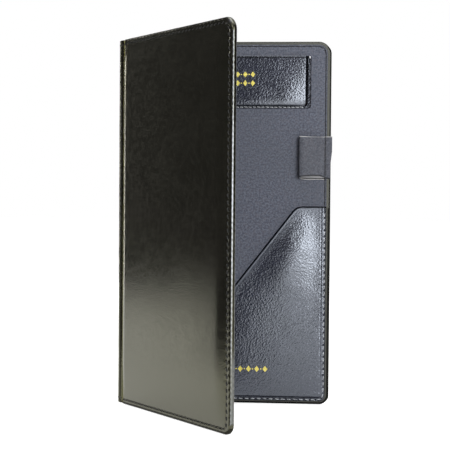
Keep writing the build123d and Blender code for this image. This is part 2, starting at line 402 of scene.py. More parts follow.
def fill_ring(points, faces, start):
    """Fills a square-cornered ring with a grid. Returns the points with the grid's added, and the faces."""
    loop = points[start:start + 2 * (ACROSS + UP)]
    x, y, level = loop[:ACROSS + 1, 0], loop[ACROSS:ACROSS + UP + 1, 1], loop[0, 2]
    index = np.zeros((UP + 1, ACROSS + 1), int)
    index[0, :] = start + np.arange(ACROSS + 1)
    index[:, ACROSS] = start + ACROSS + np.arange(UP + 1)
    index[UP, ::-1] = start + ACROSS + UP + np.arange(ACROSS + 1)
    index[::-1, 0] = (np.arange(UP + 1) + 2 * ACROSS + UP) % (2 * (ACROSS + UP)) + start
    inner = [(x[i], y[j], level) for j in range(1, UP) for i in range(1, ACROSS)]
    index[1:UP, 1:ACROSS] = len(points) + np.arange(len(inner)).reshape(UP - 1, ACROSS - 1)
    faces = faces + [(int(index[j, i]), int(index[j, i + 1]), int(index[j + 1, i + 1]), int(index[j + 1, i]))
                     for j in range(UP) for i in range(ACROSS)]
    return np.concatenate((points, inner)), faces


def ringed(box, rows):
    """Rings (inset, level, radii, density) joined in turn, the last one filled with a grid. Returns points
    (x, y, level), faces and, for each point of a ring, its ring's number."""
    points, faces, number = [], [], []
    start = last = 0
    for k, (inset, level, radii, density) in enumerate(rows):
        loop = ring(box, inset, radii, ACROSS * density, UP * density)
        points.append(np.column_stack((loop, np.full(len(loop), level))))
        number.append(np.full(len(loop), k))
        if k:
            faces += join_rings(start, start + last, last, len(loop))
            start += last
        last = len(loop)
    return *fill_ring(np.concatenate(points), faces, start), np.concatenate(number)


def waves(x, y, seeds, size):
    """Smooth seeded unevenness of about unit height and the given wavelength."""
    draw = np.random.default_rng(seeds)
    total = np.zeros(len(x))
    for _ in range(7):
        turn, phase = draw.uniform(0, 2 * math.pi, 2)
        length = size * draw.uniform(0.7, 1.6)
        total += np.sin(2 * math.pi * (x * math.cos(turn) + y * math.sin(turn)) / length + phase)
    return total / 3.7


def seam_distance(x, y):
    """Distance in from the cover's bottom, free and top edges and the two rounded corners between them."""
    d = np.minimum(np.minimum(WIDTH - x, y), HEIGHT - y)
    for radius, cy, sign in ((EDGE_RADII[1], EDGE_RADII[1], -1), (EDGE_RADII[2], HEIGHT - EDGE_RADII[2], 1)):
        cx = WIDTH - radius
        corner = (x > cx) & ((y - cy) * sign > 0)
        d = np.where(corner, radius - np.hypot(x - cx, y - cy), d)
    return d


def seam_path(low_x):
    """The three-sided perimeter seam, from its lower end at low_x to its upper end, as dense points."""
    across, up = 1600, 2300
    radii = (0.0, EDGE_RADII[1] - SEAM, EDGE_RADII[2] - SEAM, 0.0)
    loop = ring((low_x - 30, WIDTH, 0, HEIGHT), SEAM, radii, across, up)[:2 * across + up]
    return loop[loop[:, 0] >= low_x]


def run_along(path):
    """Distance along a path at each of its points."""
    return np.concatenate(((0,), np.cumsum(np.hypot(*np.diff(path, axis=0).T))))


def spaced(path, pitch):
    """Points evenly spaced along a path, near the pitch, and their real pitch."""
    run = run_along(path)
    count = max(1, round(run[-1] / pitch))
    at = np.linspace(0, run[-1], count + 1)
    return np.column_stack([np.interp(at, run, path[:, k]) for k in range(2)]), run[-1] / count


def along_seam(x, y):
    """Distance along the seam of its nearest point, found a chunk at a time to spare memory."""
    chunk, sparse, run = 4000, SEAM_PATH[::4], run_along(SEAM_PATH)[::4]
    found = np.zeros(len(x))
    for k in range(0, len(x), chunk):
        gap = (x[k:k + chunk, None] - sparse[:, 0]) ** 2 + (y[k:k + chunk, None] - sparse[:, 1]) ** 2
        found[k:k + chunk] = run[gap.argmin(1)]
    return found


def stitch_beat(run):
    """1 at the seam's holes and -1 halfway between them, at a distance along it."""
    return np.cos(2 * math.pi * run / SEAM_PITCH)


# ---------------------------------------------------------------- padded covers
SEAM_PATH = seam_path(GROOVE + 0.9)
HOLES, SEAM_PITCH = spaced(SEAM_PATH, PITCH)
EDGE_SWELL = 0.5                    # how far the leather swells past the free edge


def crown_level(x, y):
    """How far the pad lifts the skin: softly from the sewn edges, in a narrow shoulder at the crease."""
    sides, ends = WIDTH - x + 0.6, smooth_min(y, HEIGHT - y, 9.0) + 0.6
    sewn = (1 - unit((15.0 - sides) / 11.4) ** 2.4) * (1 - unit((30.0 - ends) / 26.4) ** 1.8)
    shoulder = np.interp(x, (GROOVE + 2.4, GROOVE + 3.2, GROOVE + 5.6), (0.0, 0.64, 1.0))
    return 1.2 * sewn * shoulder


def cover_radii(inset):
    """Corner radii of a cover's ring: parallel to the edge out to the seam, then those of the pad."""
    edge = [max(r - max(inset, 0), 0.15) for r in EDGE_RADII]
    pad = [max(9.0 * (20 - inset) / 15.5, 0.0)] * 4
    share = min(max((inset - 3.4) / 1.1, 0), 1)
    return tuple(e + (p - e) * share for e, p in zip(edge, pad))


def cover_rows():
    """Rings of a cover's skin, from its turned-in flap round the rim and over the seam on to the pad, and the
    numbers of the first ring on the rim, of the first that faces outward and of the first past the rim."""
    flap = [(12.0, -0.55, 1), (7.0, -0.52, 1), (3.4, -0.5, 1),
            (2.2, -0.5, 2), (1.6, -0.47, 2), (1.0, -0.47, 2)]
    inner_rim = [(INNER_ROUND - INNER_ROUND * math.sin(a), -1 + INNER_ROUND * math.cos(a), 2)
                 for a in np.radians((0, 22, 45, 68, 90))]
    side = [(0.0, level, 2) for level in (-1.25, -1.8, -2.0)]
    rim = [(RIM_ROUND - RIM_ROUND * math.cos(a), RIM + RIM_ROUND - RIM_ROUND * math.sin(a), 2 if a < 0.4 else 4)
           for a in np.radians((0, 6, 18, 26, 34, 48, 60, 66, 78, 90))]
    seam = [(d, RIM, 4) for d in (1.6, 1.95, 2.3, 2.55, 2.75, 2.9, 3.0, 3.1, 3.25, 3.45, 3.75, 4.2)]
    pad = [(d, RIM, 2) for d in (4.8, 5.5, 6.4, 7.4, 8.6, 10.0, 11.6)]
    pad += [(d, RIM, 1) for d in (13.6, 16.5, 20.0)]
    edge = flap + inner_rim + side
    rows = [(d, level, cover_radii(d), n) for d, level, n in edge + rim + seam + pad]
    return rows, len(flap), len(edge) + 1, len(edge + rim)


def cover_relief(x, y, inset, seed):
    """What pad, seam and the pull of the stitches add to the level of a cover's outside."""
    d, beat = seam_distance(x, y), stitch_beat(along_seam(x, y))
    on_side = x > FLANK
    mid_x, mid_y = (GROOVE + WIDTH) / 2, HEIGHT / 2
    dome = unit(1 - ((x - mid_x) / (mid_x - 6)) ** 2)
    dome *= unit(1 - ((y - mid_y) / (mid_y - 4)) ** 2)
    valley = 0.12 * bell(d - SEAM, 0.5) * (1 + 0.5 * beat)
    pucker = 0.05 * beat * bell(d - 1.5, 0.9) * on_side
    drag = 0.02 * beat * bell(d - 4.4, 1.1) * on_side
    uneven = 0.035 * waves(x, y, seed, 46) + 0.006 * waves(x, y, seed + 1, 13)
    soft = unit((inset - 1.0) / 8.0)
    return valley + pucker + drag - crown_level(x, y) - 0.30 * dome * soft + uneven * soft


def front_edge_marks(x, y, run, level, inset, outer):
    """Painted shade and painted highlight on the front cover's free edge: a pale line painted where the rim
    catches light, between painted dark lines, dimmer at the foot.
    """
    free_edge = (x > WIDTH - 1.4) & between(y, 6, HEIGHT - 8)
    foot = 1 - step_up(y, 36, 14)
    painted_highlight = 0.62 + 0.22 * np.cos(2 * math.pi * run / 3.1) + 0.16 * waves(run, run * 0, 91, 26)
    painted_highlight *= 0.62 + 0.75 * bell(y - 135, 42)
    pale = painted_highlight * (1 - 0.45 * foot) * free_edge * between(level, -3.0, -2.45)
    # a paler band painted on the flank at the foot, a pale line painted along the inner edge and a pale spot at
    # the top corner
    pale += 0.16 * foot * free_edge * between(level, -2.45, -1.1)
    pale += 0.20 * free_edge * (level > -1.0) * (inset < 0.6)
    pale += 0.3 * bell(np.hypot(x - WIDTH + 1.6, y - HEIGHT + 1.6), 1.5) * outer
    # painted shade: dark lines on both sides of the painted highlight
    shade = 0.9 * free_edge * between(level, -3.36, -3.1) * (inset < 0.9)
    shade += 0.6 * (1 - 0.7 * foot) * free_edge * between(level, -1.9, -1.2) * (inset < 0.2)
    return shade, pale


def back_border_marks(x, y, inset, border):
    """Painted shade and a painted paler grey on the border round the back cover's lining, black along its edge.
    """
    edged = (inset < 0.55) | (inset < 1.1) & (y < MOUTH_Y - 0.5) & (x > GROOVE + 40)
    edged &= x > FLANK
    return np.where(edged, np.where(y > HEIGHT - 3, 0.5, 0.95), 0.34) * border, 0.11 * border


def make_cover(body, seed):
    """Leatherette wrapped round board and pad, sewn 3 mm in, its edges turned in under the lining."""
    rows, first_rim, first_outer, past_rim = cover_rows()
    points, faces, number = ringed(COVER_BOX, rows)
    inset = np.full(len(points), rows[-1][0])
    inset[:len(number)] = np.array([row[0] for row in rows])[number]
    outer, on_rim = np.ones(len(points), bool), np.zeros(len(points), bool)
    outer[:len(number)] = number >= first_outer
    on_rim[:len(number)] = (number >= first_rim) & (number < past_rim)
    x, y = points[:, 0], points[:, 1]
    d, run = seam_distance(x, y), along_seam(x, y)
    on_side = x > FLANK
    points[outer, 2] += cover_relief(x, y, inset, seed)[outer]
    edge_wave = 0.05 * np.cos(2 * math.pi * run / SEAM_PITCH + 0.6) + 0.05 * waves(run, run * 0, seed + 2, 21)
    points[:, 2] += edge_wave * on_rim * (inset < 1.3) * on_side
    level = points[:, 2].copy()
    # painted shade: in the seam's groove, in the deep crease by the spine, and a dark line painted along the
    # pad's shoulder near the top
    shade = 0.12 * bell(d - SEAM, 0.45) * outer * on_side
    shade += 0.95 * (1 - step_up(x, GROOVE + 2.3, 0.9)) * outer * (d > 1.0)
    shade += 0.9 * bell(x - GROOVE - 5.9, 0.5) * outer * (d > SEAM) * step_up(y, 165, 35)
    points[:, 0] += EDGE_SWELL * unit((x - WIDTH + 1.4) / 1.4) * (inset < 1.4)
    turned = (level > -1.25) & ~outer
    if body == "front_cover":
        edge_shade, pale = front_edge_marks(x, y, run, level, inset, outer)
    else:
        edge_shade, pale = back_border_marks(x, y, inset, turned)
    # the skin's hidden side, a thickness in
    hidden = [(12.0, -0.82), (1.0, -0.82), (0.7, -1.1), (0.7, -2.4), (1.1, -2.8), (4.5, -2.82),
              (7.0, -3.2), (9.5, -3.7), (12.5, -4.0), (20.0, -4.02)]
    under, under_faces, _ = ringed(COVER_BOX, [(a, h, cover_radii(a), 1) for a, h in hidden])
    base, count = len(points), 2 * (ACROSS + UP)
    faces += [tuple(base + v for v in reversed(f)) for f in under_faces]
    faces += [tuple(reversed(f)) for f in join_rings(0, base, count, count)]
    piece = make(f"{body}_skin_padded", np.concatenate((points, under)), faces, body, COVER, "leatherette",
                 shade + edge_shade, plain=turned, pale=pale)
    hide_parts(body.replace("cover", "skin"))


def lining_radii(inset):
    return tuple(max(r - inset, 0.0) for r in (0.0, 3.5, 5.5, 0.0))


def make_lining(body, seed):
    """Lining sheet, sewn through near its edge and lying over the turned-in skin."""
    rows = [(0.0, -0.5, 2), (0.0, -0.2, 2), (0.05, -0.08, 2), (0.16, -0.02, 2)]
    rows += [(d, 0.0, 4) for d in (0.35, 0.55, 0.75, 0.9, 1.0, 1.1, 1.25, 1.45, 1.8)]
    rows += [(d, 0.0, 2) for d in (2.5, 3.5)] + [(d, 0.0, 1) for d in (5.5, 8.0)]
    points, faces, _ = ringed(LINING_BOX, [(d, level, lining_radii(d), n) for d, level, n in rows])
    x, y = points[:, 0], points[:, 1]
    d, beat = seam_distance(x, y), stitch_beat(along_seam(x, y))
    top = points[:, 2] > -0.3
    valley = 0.20 * bell(d - SEAM, 0.36) * (1 + 0.25 * beat)
    points[top, 2] += (0.035 * waves(x, y, seed, 38) * unit((d - 4) / 10) - valley)[top]
    # painted shade along the seam's groove, darkest at its holes
    shade = (0.50 + 0.45 * unit(beat)) * bell(d - SEAM, 0.30) * top
    # the underside shares the outermost ring
    rows = [(d, -0.5, lining_radii(d), n) for d, n in ((0.0, 2), (8.0, 1))]
    under, under_faces, _ = ringed(LINING_BOX, rows)
    base, shared = len(points), 4 * (ACROSS + UP)
    faces += [tuple(v if v < shared else base + v - shared for v in reversed(f)) for f in under_faces]
    piece = make(f"{body}_lining_cloth", np.concatenate((points, under[shared:])), faces, body, LINING,
                 "lining", shade)
    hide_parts(body.replace("cover", "lining"))


# ---------------------------------------------------------------- stitches
def tube_walls(loops, n, base=0):
    """Faces between each loop of n points and the next."""
    starts = [base + r * n for r in range(loops - 1)]
    return [(a + k, a + (k + 1) % n, a + n + (k + 1) % n, a + n + k) for a in starts for k in range(n)]


def rod_faces(loops, n, base):
    """Faces of a tube of loops of n points each, with one face across each end."""
    last = base + (loops - 1) * n
    return tube_walls(loops, n, base) + [tuple(reversed(range(base, base + n))), tuple(range(last, last + n))]


def even_level(h):
    return lambda x, y: np.full(np.shape(x), h)


def stitch_tubes(holes, level, side, thread=0.27, sink=0.32, rise=0.20, slant=0.15, reach=1.0, steps=7):
    """One short thread per stitch between neighbouring holes (x, y). side is +1 where the seam is seen from
    the lining and -1 from outside; level gives the surface's h at a point."""
    points, faces, sides = [], [], 6
    for (ax, ay), (bx, by) in zip(holes[:-1], holes[1:]):
        along = np.array((bx - ax, by - ay))
        length = np.hypot(*along)
        along = along / length
        across = np.array((-along[1], along[0]))
        base = len(points)
        for share in (1 - np.cos(np.linspace(0.25, math.pi - 0.25, steps))) / 2:
            arch = math.sin(math.pi * share)
            height = -sink + (sink + rise) * min(1, 2.2 * arch ** 1.2)
            centre = np.array((ax, ay)) + along * length * (0.5 + reach * (share - 0.5))
            centre += across * slant * (1 - 2 * share) * side
            width = thread * min(1, 0.55 + arch)
            for k in range(sides):
                turn = 2 * math.pi * k / sides
                spot = centre + across * width * math.cos(turn)
                points.append((spot[0], spot[1], side * (height + width * math.sin(turn))))
        faces += rod_faces(steps, sides, base)
    points = np.array(points)
    points[:, 2] += level(points[:, 0], points[:, 1])
    return points, faces


def make_stitches(name, body, holes, level, side, material=THREAD, **sizes):
    make(name, *stitch_tubes(holes, level, side, **sizes), body, material, "thread")


# ---------------------------------------------------------------- spine, hinges and gutter
BACK_RADIUS = 5.0                   # centre line of the leather round the spine's back
LEG = 1.25                          # straight sides of the back below the crease axes
HALF_TURN = BACK_RADIUS * math.pi / 2


def heights(step, low=0.0, high=HEIGHT):
    """Levels from low to high, closer together at the ends and at the seams that cross there."""
    near = [0.0, 0.03, 0.1, 0.2, 0.35, 0.6, 1.0, 1.5, 2.0, 2.3, 2.55, 2.8, 3.0, 3.2, 3.45, 3.8, 4.4, 5.4]
    middle = np.linspace(5.4, HEIGHT - 5.4, int((HEIGHT - 10.8) / step) + 1)[1:-1]
    return low + (high - low) * np.concatenate((near, middle, HEIGHT - np.array(near[::-1]))) / HEIGHT


def end_round(y, low=0.0, high=HEIGHT, radius=0.35):
    """How far a folded end draws in at a height."""
    gap = np.clip(np.minimum(y - low, high - y), 0, radius)
    return radius - np.sqrt(np.maximum(radius ** 2 - (radius - gap) ** 2, 0))


def tube_faces(loops, n):
    """Faces of a tube of loops of n points each. The caps join a loop's first half to its second."""
    faces, last = tube_walls(loops, n), (loops - 1) * n
    for k in range(n // 2 - 1):
        quad = (k, k + 1, n - 2 - k, n - 1 - k)
        faces += [tuple(reversed(quad)), tuple(last + v for v in quad)]
    return faces


def sweep(section_at, levels):
    """Closed section (n, 2) at each level, with caps. Returns points (a, level, b) and faces."""
    loops = [section_at(y) for y in levels]
    n = len(loops[0])
    points = [np.column_stack((s[:, 0], np.full(n, y), s[:, 1])) for s, y in zip(loops, levels)]
    return np.concatenate(points), tube_faces(len(levels), n)


def band_section(centre, normal, thick_out, thick_in):
    """Closed section of a band from its centre line and normals: outer side forward, inner side back."""
    return np.concatenate((centre + normal * thick_out, (centre - normal * thick_in)[::-1]))


def spine_level(y):
    """How far the cross seams pull the spine's skin in."""
    return 0.26 * (bell(y - SEAM, 0.45) + bell(HEIGHT - y - SEAM, 0.45))


def spine_back(arc):
    """Points (s, h) and outward normals on the spine's rounded back, arc mm round it from its middle."""
    turn = np.clip(arc / BACK_RADIUS, -math.pi / 2, math.pi / 2)
    normal = np.column_stack((np.sin(turn), -np.cos(turn)))
    leg = np.maximum(np.abs(arc) - HALF_TURN, 0)
    centre = np.array((-SPINE / 2, CREASE - LEG))
    return centre + normal * BACK_RADIUS + np.column_stack((leg * 0, leg)), normal


def make_spine():
    """Leather of the spine, a soft tube that stands proud between the covers."""
    arc = np.linspace(-HALF_TURN - 1.5, HALF_TURN + 1.5, 57)
    levels = heights(1.9)
    centre, normal = spine_back(arc)
    mid = np.cos(np.clip(arc / HALF_TURN, -1, 1) * math.pi / 2)
    taper = np.minimum(1, (HALF_TURN + 1.55 - np.abs(arc)) / 0.5) ** 0.5

    def section(y):
        sunk = spine_level(y) * (0.5 + 0.5 * mid)
        at = np.full(len(arc), y)
        sag = (0.07 * waves(at, arc, 71, 37) + 0.03 * waves(at, arc, 72, 11)) * mid
        half = (0.35 - end_round(y)) * taper
        return band_section(centre, normal, (half - sunk + sag)[:, None], half[:, None])

    points, faces = sweep(section, levels)
    y = points[:, 1]
    around = np.tile(np.concatenate((arc, arc[::-1])), len(levels))
    seam = np.minimum(np.abs(y - SEAM), np.abs(HEIGHT - y - SEAM))
    # painted highlight: a pale dotted line down the spine's back where it catches light, fading towards the
    # ends
    painted_highlight = bell(np.abs(around) - 6.05, 0.40) * (0.26 + 0.2 * np.cos(2 * math.pi * y / 3.5))
    painted_highlight *= 0.25 + 0.75 * step_up(y, 92, 30) * (1 - step_up(y, 185, 25))
    # painted shade at the cross seams and down both sides of the spine's back
    shade = 0.5 * bell(seam, 0.3) + 0.8 * step_up(np.abs(around), 4.9, 0.9)
    piece = make("spine_leather", points, faces, "spine", COVER, "leatherette", shade * (1 - painted_highlight),
                 np.column_stack((around, y, 0 * y)), pale=painted_highlight)
    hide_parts("spine_skin")


def make_spine_caps():
    """Turned-in leather that closes the spine's head and tail over its foam."""
    count = 41
    arc = np.linspace(-HALF_TURN - 1.4, HALF_TURN + 1.4, count)
    outer = spine_back(arc)[0]
    chord = np.column_stack((np.linspace(outer[0, 0], outer[-1, 0], count), np.full(count, -0.68)))
    share = np.linspace(0, 1, 13)[:, None]
    s = outer[None, :, 0] * (1 - share) + chord[None, :, 0] * share
    h = outer[None, :, 1] * (1 - share) + chord[None, :, 1] * share
    dome = np.sin(math.pi * np.linspace(0.0, 1.0, count))[None] ** 0.6 * np.sin(math.pi * share) ** 0.6
    tuck = 0.18 * waves(s.ravel() * 1.3, h.ravel(), 77, 5.0).reshape(s.shape) * dome
    for name, level, out in (("spine_tail_fold", 0.75, -1), ("spine_head_fold", HEIGHT - 0.75, 1)):
        points, faces = pocket_mesh(s, h, level + out * (0.6 * dome + tuck), level - out * 1.2 + 0 * s)
        make(name, points[:, (0, 2, 1)], faces, "spine", COVER, "leatherette")


def make_spine_stitches():
    """Cross stitches where the perimeter seam passes over the spine, one thread to each step."""
    arc = np.linspace(-HALF_TURN - 0.9, HALF_TURN + 0.9, 6)
    for name, y in (("spine_tail_stitches", SEAM), ("spine_head_stitches", HEIGHT - SEAM)):
        holes = np.column_stack((arc, np.full(len(arc), y)))
        points, faces = stitch_tubes(holes, even_level(0.15), 1, steps=9)
        spot, normal = spine_back(points[:, 0])
        spot = spot + normal * points[:, 2:]
        make(name, np.column_stack((spot[:, 0], points[:, 1], spot[:, 1])), faces, "spine", THREAD, "thread")


def path_normals(path):
    step = np.gradient(path, axis=0)
    step /= np.hypot(*step.T)[:, None]
    return np.column_stack((-step[:, 1], step[:, 0]))


def row_xy(points, body):
    """Points (x, h) of a body's frame, as X and Y of the row frame."""
    return place(np.column_stack((points[:, 0], np.zeros(len(points)), points[:, 1])), body)[:, :2]


def hinge_path(side):
    """Outer line of the hinge leather at rest, from under the cover's flank to over the spine's leather."""
    straight = row_xy(np.column_stack((np.linspace(2.7, 0.6, 8), np.full(8, -1.22))), f"{side}_cover")
    arc = HALF_TURN + np.concatenate((np.linspace(0.95, 0.0, 8), np.linspace(-0.25, -1.6, 7)))
    lift = np.concatenate((np.full(8, 0.04), np.linspace(0.04, -0.12, 7)))
    spot, normal = spine_back(arc)
    spot = spot + normal * (0.35 + lift)[:, None]
    if side == "front":
        spot[:, 0] = -SPINE - spot[:, 0]
    return np.concatenate((straight, row_xy(spot, "spine")))


def gutter_path(side):
    """Face line of the lining's fold in the gutter at rest, tucked under the linings at both ends."""
    set_in, bend = 0.3749, 1.25
    start = np.array(((3.2, -0.12), (bend + set_in, -0.10)))
    end = np.array(((-bend - set_in, -0.10), (-3.4, -0.12), (-set_in, CREASE + 0.5)))
    if side == "front":
        end[:, 0] = -SPINE - end[:, 0]
    a, b = row_xy(start, f"{side}_cover"), row_xy(end, "spine")
    t = np.linspace(0, 1, 9)[1:-1, None]
    curve = (1 - t) ** 2 * a[1] + 2 * t * (1 - t) * b[2] + t ** 2 * b[0]
    return np.concatenate((a, curve, b[:2]))


def make_fold(name, path, inward, thickness, material, slot, low, high):
    """A band of sheet shaped round one crease, from the cover to the spine, as it lies at rest."""
    path = spaced(path, 0.28)[0]
    normal = path_normals(path)
    if np.dot(normal[len(path) // 2], inward) < 0:
        normal = -normal
    levels = heights(4.0, low, high)

    def section(y):
        draw = end_round(y, low, high, 0.3)
        return np.concatenate((path + normal * draw, (path + normal * (thickness - draw))[::-1]))

    points, faces = sweep(section, levels)
    points = points[:, (0, 2, 1)]
    run = run_along(path)
    around = np.tile(np.concatenate((run, run[::-1])), len(levels))
    flat = np.column_stack((around, points[:, 2], 0 * around))
    piece = make(name, points, faces, None, material, slot, flat=flat)
    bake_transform(piece)


def make_gutter():
    """Lining strip over the spine, between its two folds."""
    low, high, count = LINING_EDGE, HEIGHT - LINING_EDGE, 15
    x = np.linspace(-SPINE + 1.75, -1.75, count)
    centre = np.column_stack((x, np.full(count, -0.25)))
    normal = np.tile((0.0, 1.0), (count, 1))

    def section(y):
        half = np.full((count, 1), 0.24 - end_round(y, low, high, 0.22))
        face = half.copy()
        face[[0, -1]] *= 0.5
        return band_section(centre, normal, face, half)

    points, faces = sweep(section, heights(4.0, low, high))
    piece = make("gutter_lining", points, faces, "spine", LINING, "lining")
    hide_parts("spine_lining")


# ---------------------------------------------------------------- pockets
def grid_faces(rows, columns, offset=0, back=False):
    starts = [offset + j * columns + i for j in range(rows - 1) for i in range(columns - 1)]
    quads = [(a, a + 1, a + columns + 1, a + columns) for a in starts]
    return [quad[::-1] for quad in quads] if back else quads


def pocket_mesh(x, y, top, under):
    """Closed sheet between a grid's upper and lower levels."""
    rows, columns = x.shape
    count = rows * columns
    points = np.concatenate((np.column_stack((x.ravel(), y.ravel(), top.ravel())),
                             np.column_stack((x.ravel(), y.ravel(), under.ravel()))))
    faces = grid_faces(rows, columns) + grid_faces(rows, columns, count, True)
    rim = ([(0, i) for i in range(columns)] + [(j, columns - 1) for j in range(1, rows)]
           + [(rows - 1, i) for i in range(columns - 2, -1, -1)] + [(j, 0) for j in range(rows - 2, 0, -1)])
    rim = [j * columns + i for j, i in rim]
    for a, b in zip(rim, rim[1:] + rim[:1]):
        faces.append((b, a, count + a, count + b))
    return points, faces


def round_off(x, y, cx, cy, radius, sx, sy):
    """Draws a square corner of a grid on to an arc of the radius."""
    a, b = (x - cx) * sx, (y - cy) * sy
    inside = (a > 0) & (b > 0)
    length = np.maximum(np.hypot(a, b), 1e-9)
    scale = np.where(inside, np.maximum(a, b) / length, 1.0)
    return cx + sx * a * scale, cy + sy * b * scale


def card_panel(x, y):
    """h of the card pocket's puffed panel, which falls away to its right and rolls over at its foot."""
    x0, x1, y0, y1 = CARD
    right, left, foot = x1 - x - CARD_BORDER, x - x0 - CARD_BORDER, y - y0 - CARD_TAIL
    up = unit((y - y0) / (y1 - y0))
    fall = (1.8 - 1.9 * up) * unit(1 - right / (16.0 - 5.0 * up)) ** 2
    fall += 0.6 * unit(1 - left / 14.0) ** 2
    fall -= 0.22 * bell(x - x0 - 0.62 * (x1 - x0), 13) * (1 - up)
    return 2.75 - fall - 0.85 * unit(1 - foot / 4.6) ** 2 - 0.15 * up ** 2


def card_shade(x, y, d, rise):
    """Painted shade of the card pocket: in its step's groove, along its outline, dashed along the foot, and in
    the line below its lip; and a darker border.
    """
    x0, x1, y0, y1 = CARD
    across = np.minimum(x - x0, x1 - x)
    dash = np.where(across > 3, 0.62 + 0.38 * np.cos(2 * math.pi * x / TAIL_PITCH), 1.0)
    deep = np.where(across > CARD_BORDER + 1.2, 0.45, 1.0)
    return (deep * bell(d - CARD_BORDER, 0.42)
            + dash * (1 - step_up(np.minimum(across, y - y0), 0.30, 0.30))
            + 0.35 * deep * (1 - rise)
            + 0.9 * bell(y1 - y - 1.15, 0.36) * rise)


def make_card_pocket():
    """Card pocket: a puffed panel stepped up from its sewn border, open along the top."""
    x0, x1, y0, y1 = CARD
    border = [0, 0.08, 0.22, 0.45, 0.8, 1.2, 1.6, 2.0, 2.3, 2.5,
              2.65, 2.8, 2.95, 3.15, 3.4, 3.7, 4.0, 4.3, 4.8, 5.5]
    foot = [0, 0.08, 0.2, 0.4, 0.6, 0.8, 0.95, 1.1, 1.25, 1.45, 1.7, 2.0, 2.4, 2.9, 3.5, 4.2, 5.0, 5.8]
    lip = [2.4, 1.9, 1.6, 1.35, 1.2, 1.05, 0.9, 0.75, 0.6, 0.45, 0.3, 0.18, 0.08, 0.0]
    xs = np.concatenate((x0 + np.array(border), np.linspace(x0 + 6.2, x1 - 6.2, 118),
                         x1 - np.array(border[::-1])))
    ys = np.concatenate((y0 + np.array(foot), np.linspace(y0 + 6.6, y1 - 3.1, 32), y1 - np.array(lip)))
    x, y = np.meshgrid(xs, ys)
    side = smooth_min(x - x0, x1 - x, 1.0)
    d = smooth_min(side, y - y0 + CARD_BORDER - CARD_TAIL, 3.2)
    plain = np.minimum(np.minimum(x - x0, x1 - x), y - y0)
    rise = step_up(d, CARD_BORDER, 0.9)
    groove = 0.30 * bell(d - CARD_BORDER, 0.26)
    edge = 0.18 * (1 - unit(plain / 0.3)) ** 2
    fx, fy = x.ravel(), y.ravel()
    creases = [((72, 188.5), (80, 196.5), (91, 203.5), 0.16), ((76, 190.5), (83, 197.0), (88, 199.0), 0.10),
               ((62, 189.0), (66, 193.0), (72, 197.5), 0.07), ((95, 191.0), (99, 196.0), (103, 200.5), 0.07),
               ((30, 190.0), (38, 196.0), (44, 203.0), 0.10)]
    crinkle = 0.022 * waves(fx + fy, fy * 0.2, 34, 3.4) * bell(fy - 194, 9)
    crinkle += 0.05 * waves(fx, fy, 33, 22) - wrinkles(fx, fy, creases)
    flange = 0.62 + 0.03 * np.cos(2 * math.pi * (x + y) / PITCH)
    top = flange * (1 - rise) + (card_panel(x, y) + crinkle.reshape(x.shape)) * rise - groove - edge
    at_lip = y1 - y
    fold = 0.16 * bell(at_lip - 1.05, 0.2) - 0.10 * bell(at_lip - 0.45, 0.35)
    roll = 0.36 * (1 - quarter(at_lip, 0.4))
    under = np.where(rise > 0, np.maximum(top - SKIN, REST), REST) + roll * 0.9 * rise
    top = top - (fold + roll) * rise - roll * 0.4 * (1 - rise)
    shade = card_shade(x, y, d, rise)
    for cx, sx in ((x0 + CARD_ROUND, -1), (x1 - CARD_ROUND, 1)):
        x, y = round_off(x, y, cx, y0 + CARD_ROUND, CARD_ROUND, sx, -1)
    points, faces = pocket_mesh(x, y, top, under)
    piece = make("card_pocket_leather", points, faces, "back_cover", POCKET, "pocket_leatherette", shade)
    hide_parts("card_pocket")


def make_card_stitches():
    """The seam along the card pocket's foot and the tack at the head of its right side, both in pale thread
    that paints the highlights of their stitches.
    """
    x0, x1, y0, y1 = CARD
    foot = [(x, y0 + 0.72) for x in np.arange(x0 + 2.6, x1 - 2.0, TAIL_PITCH)]
    tack = [(x1 - 1.45, y1 - 0.4), (x1 - 0.25, y1 - 0.9), (x1 - 1.45, y1 - 1.1), (x1 - 0.25, y1 - 1.6)]
    make_stitches("card_pocket_foot_stitches", "back_cover", foot, even_level(0.50), 1, HIGHLIGHT_THREAD,
                  thread=0.20, sink=0.25, rise=0.12)
    make_stitches("card_pocket_tack", "back_cover", tack, even_level(0.50), 1, TACK_THREAD,
                  thread=0.28, sink=0.2, rise=0.45, slant=0.0)


def wrinkles(x, y, lines):
    """Depth of fine creases, each along a bent line of three points, with a depth, fading to its ends."""
    total, count = np.zeros(len(x)), 40
    for a, b, c, depth in lines:
        t = np.linspace(0, 1, count)[:, None]
        a, b, c = (np.array(v, float) for v in (a, b, c))
        line = (1 - t) ** 2 * a + 2 * t * (1 - t) * b + t ** 2 * c
        gap = np.hypot(x[:, None] - line[None, :, 0], y[:, None] - line[None, :, 1])
        near = gap.argmin(1)
        fade = np.sin(math.pi * np.clip(near / (count - 1), 0.03, 0.97)) ** 0.7
        side = gap[np.arange(len(x)), near]
        total += depth * fade * (bell(side, 0.38) - 0.45 * bell(side, 1.1))
    return total


MOUTH_TURN = math.atan2(MOUTH_Y, MOUTH_X - MOUTH_FOOT)
MOUTH_CENTRE = (MOUTH_X + MOUTH_RADIUS * math.tan(MOUTH_TURN / 2), MOUTH_Y - MOUTH_RADIUS)


def check_left(y):
    """x of the check pocket's mouth at a height."""
    cx, cy = MOUTH_CENTRE
    on_line = MOUTH_X - (MOUTH_Y - y) / math.tan(MOUTH_TURN)
    on_arc = cx - np.sqrt(np.maximum(MOUTH_RADIUS ** 2 - np.clip(y - cy, 0, MOUTH_RADIUS) ** 2, 0))
    return np.where(y < cy + MOUTH_RADIUS * math.cos(MOUTH_TURN), on_line, on_arc)


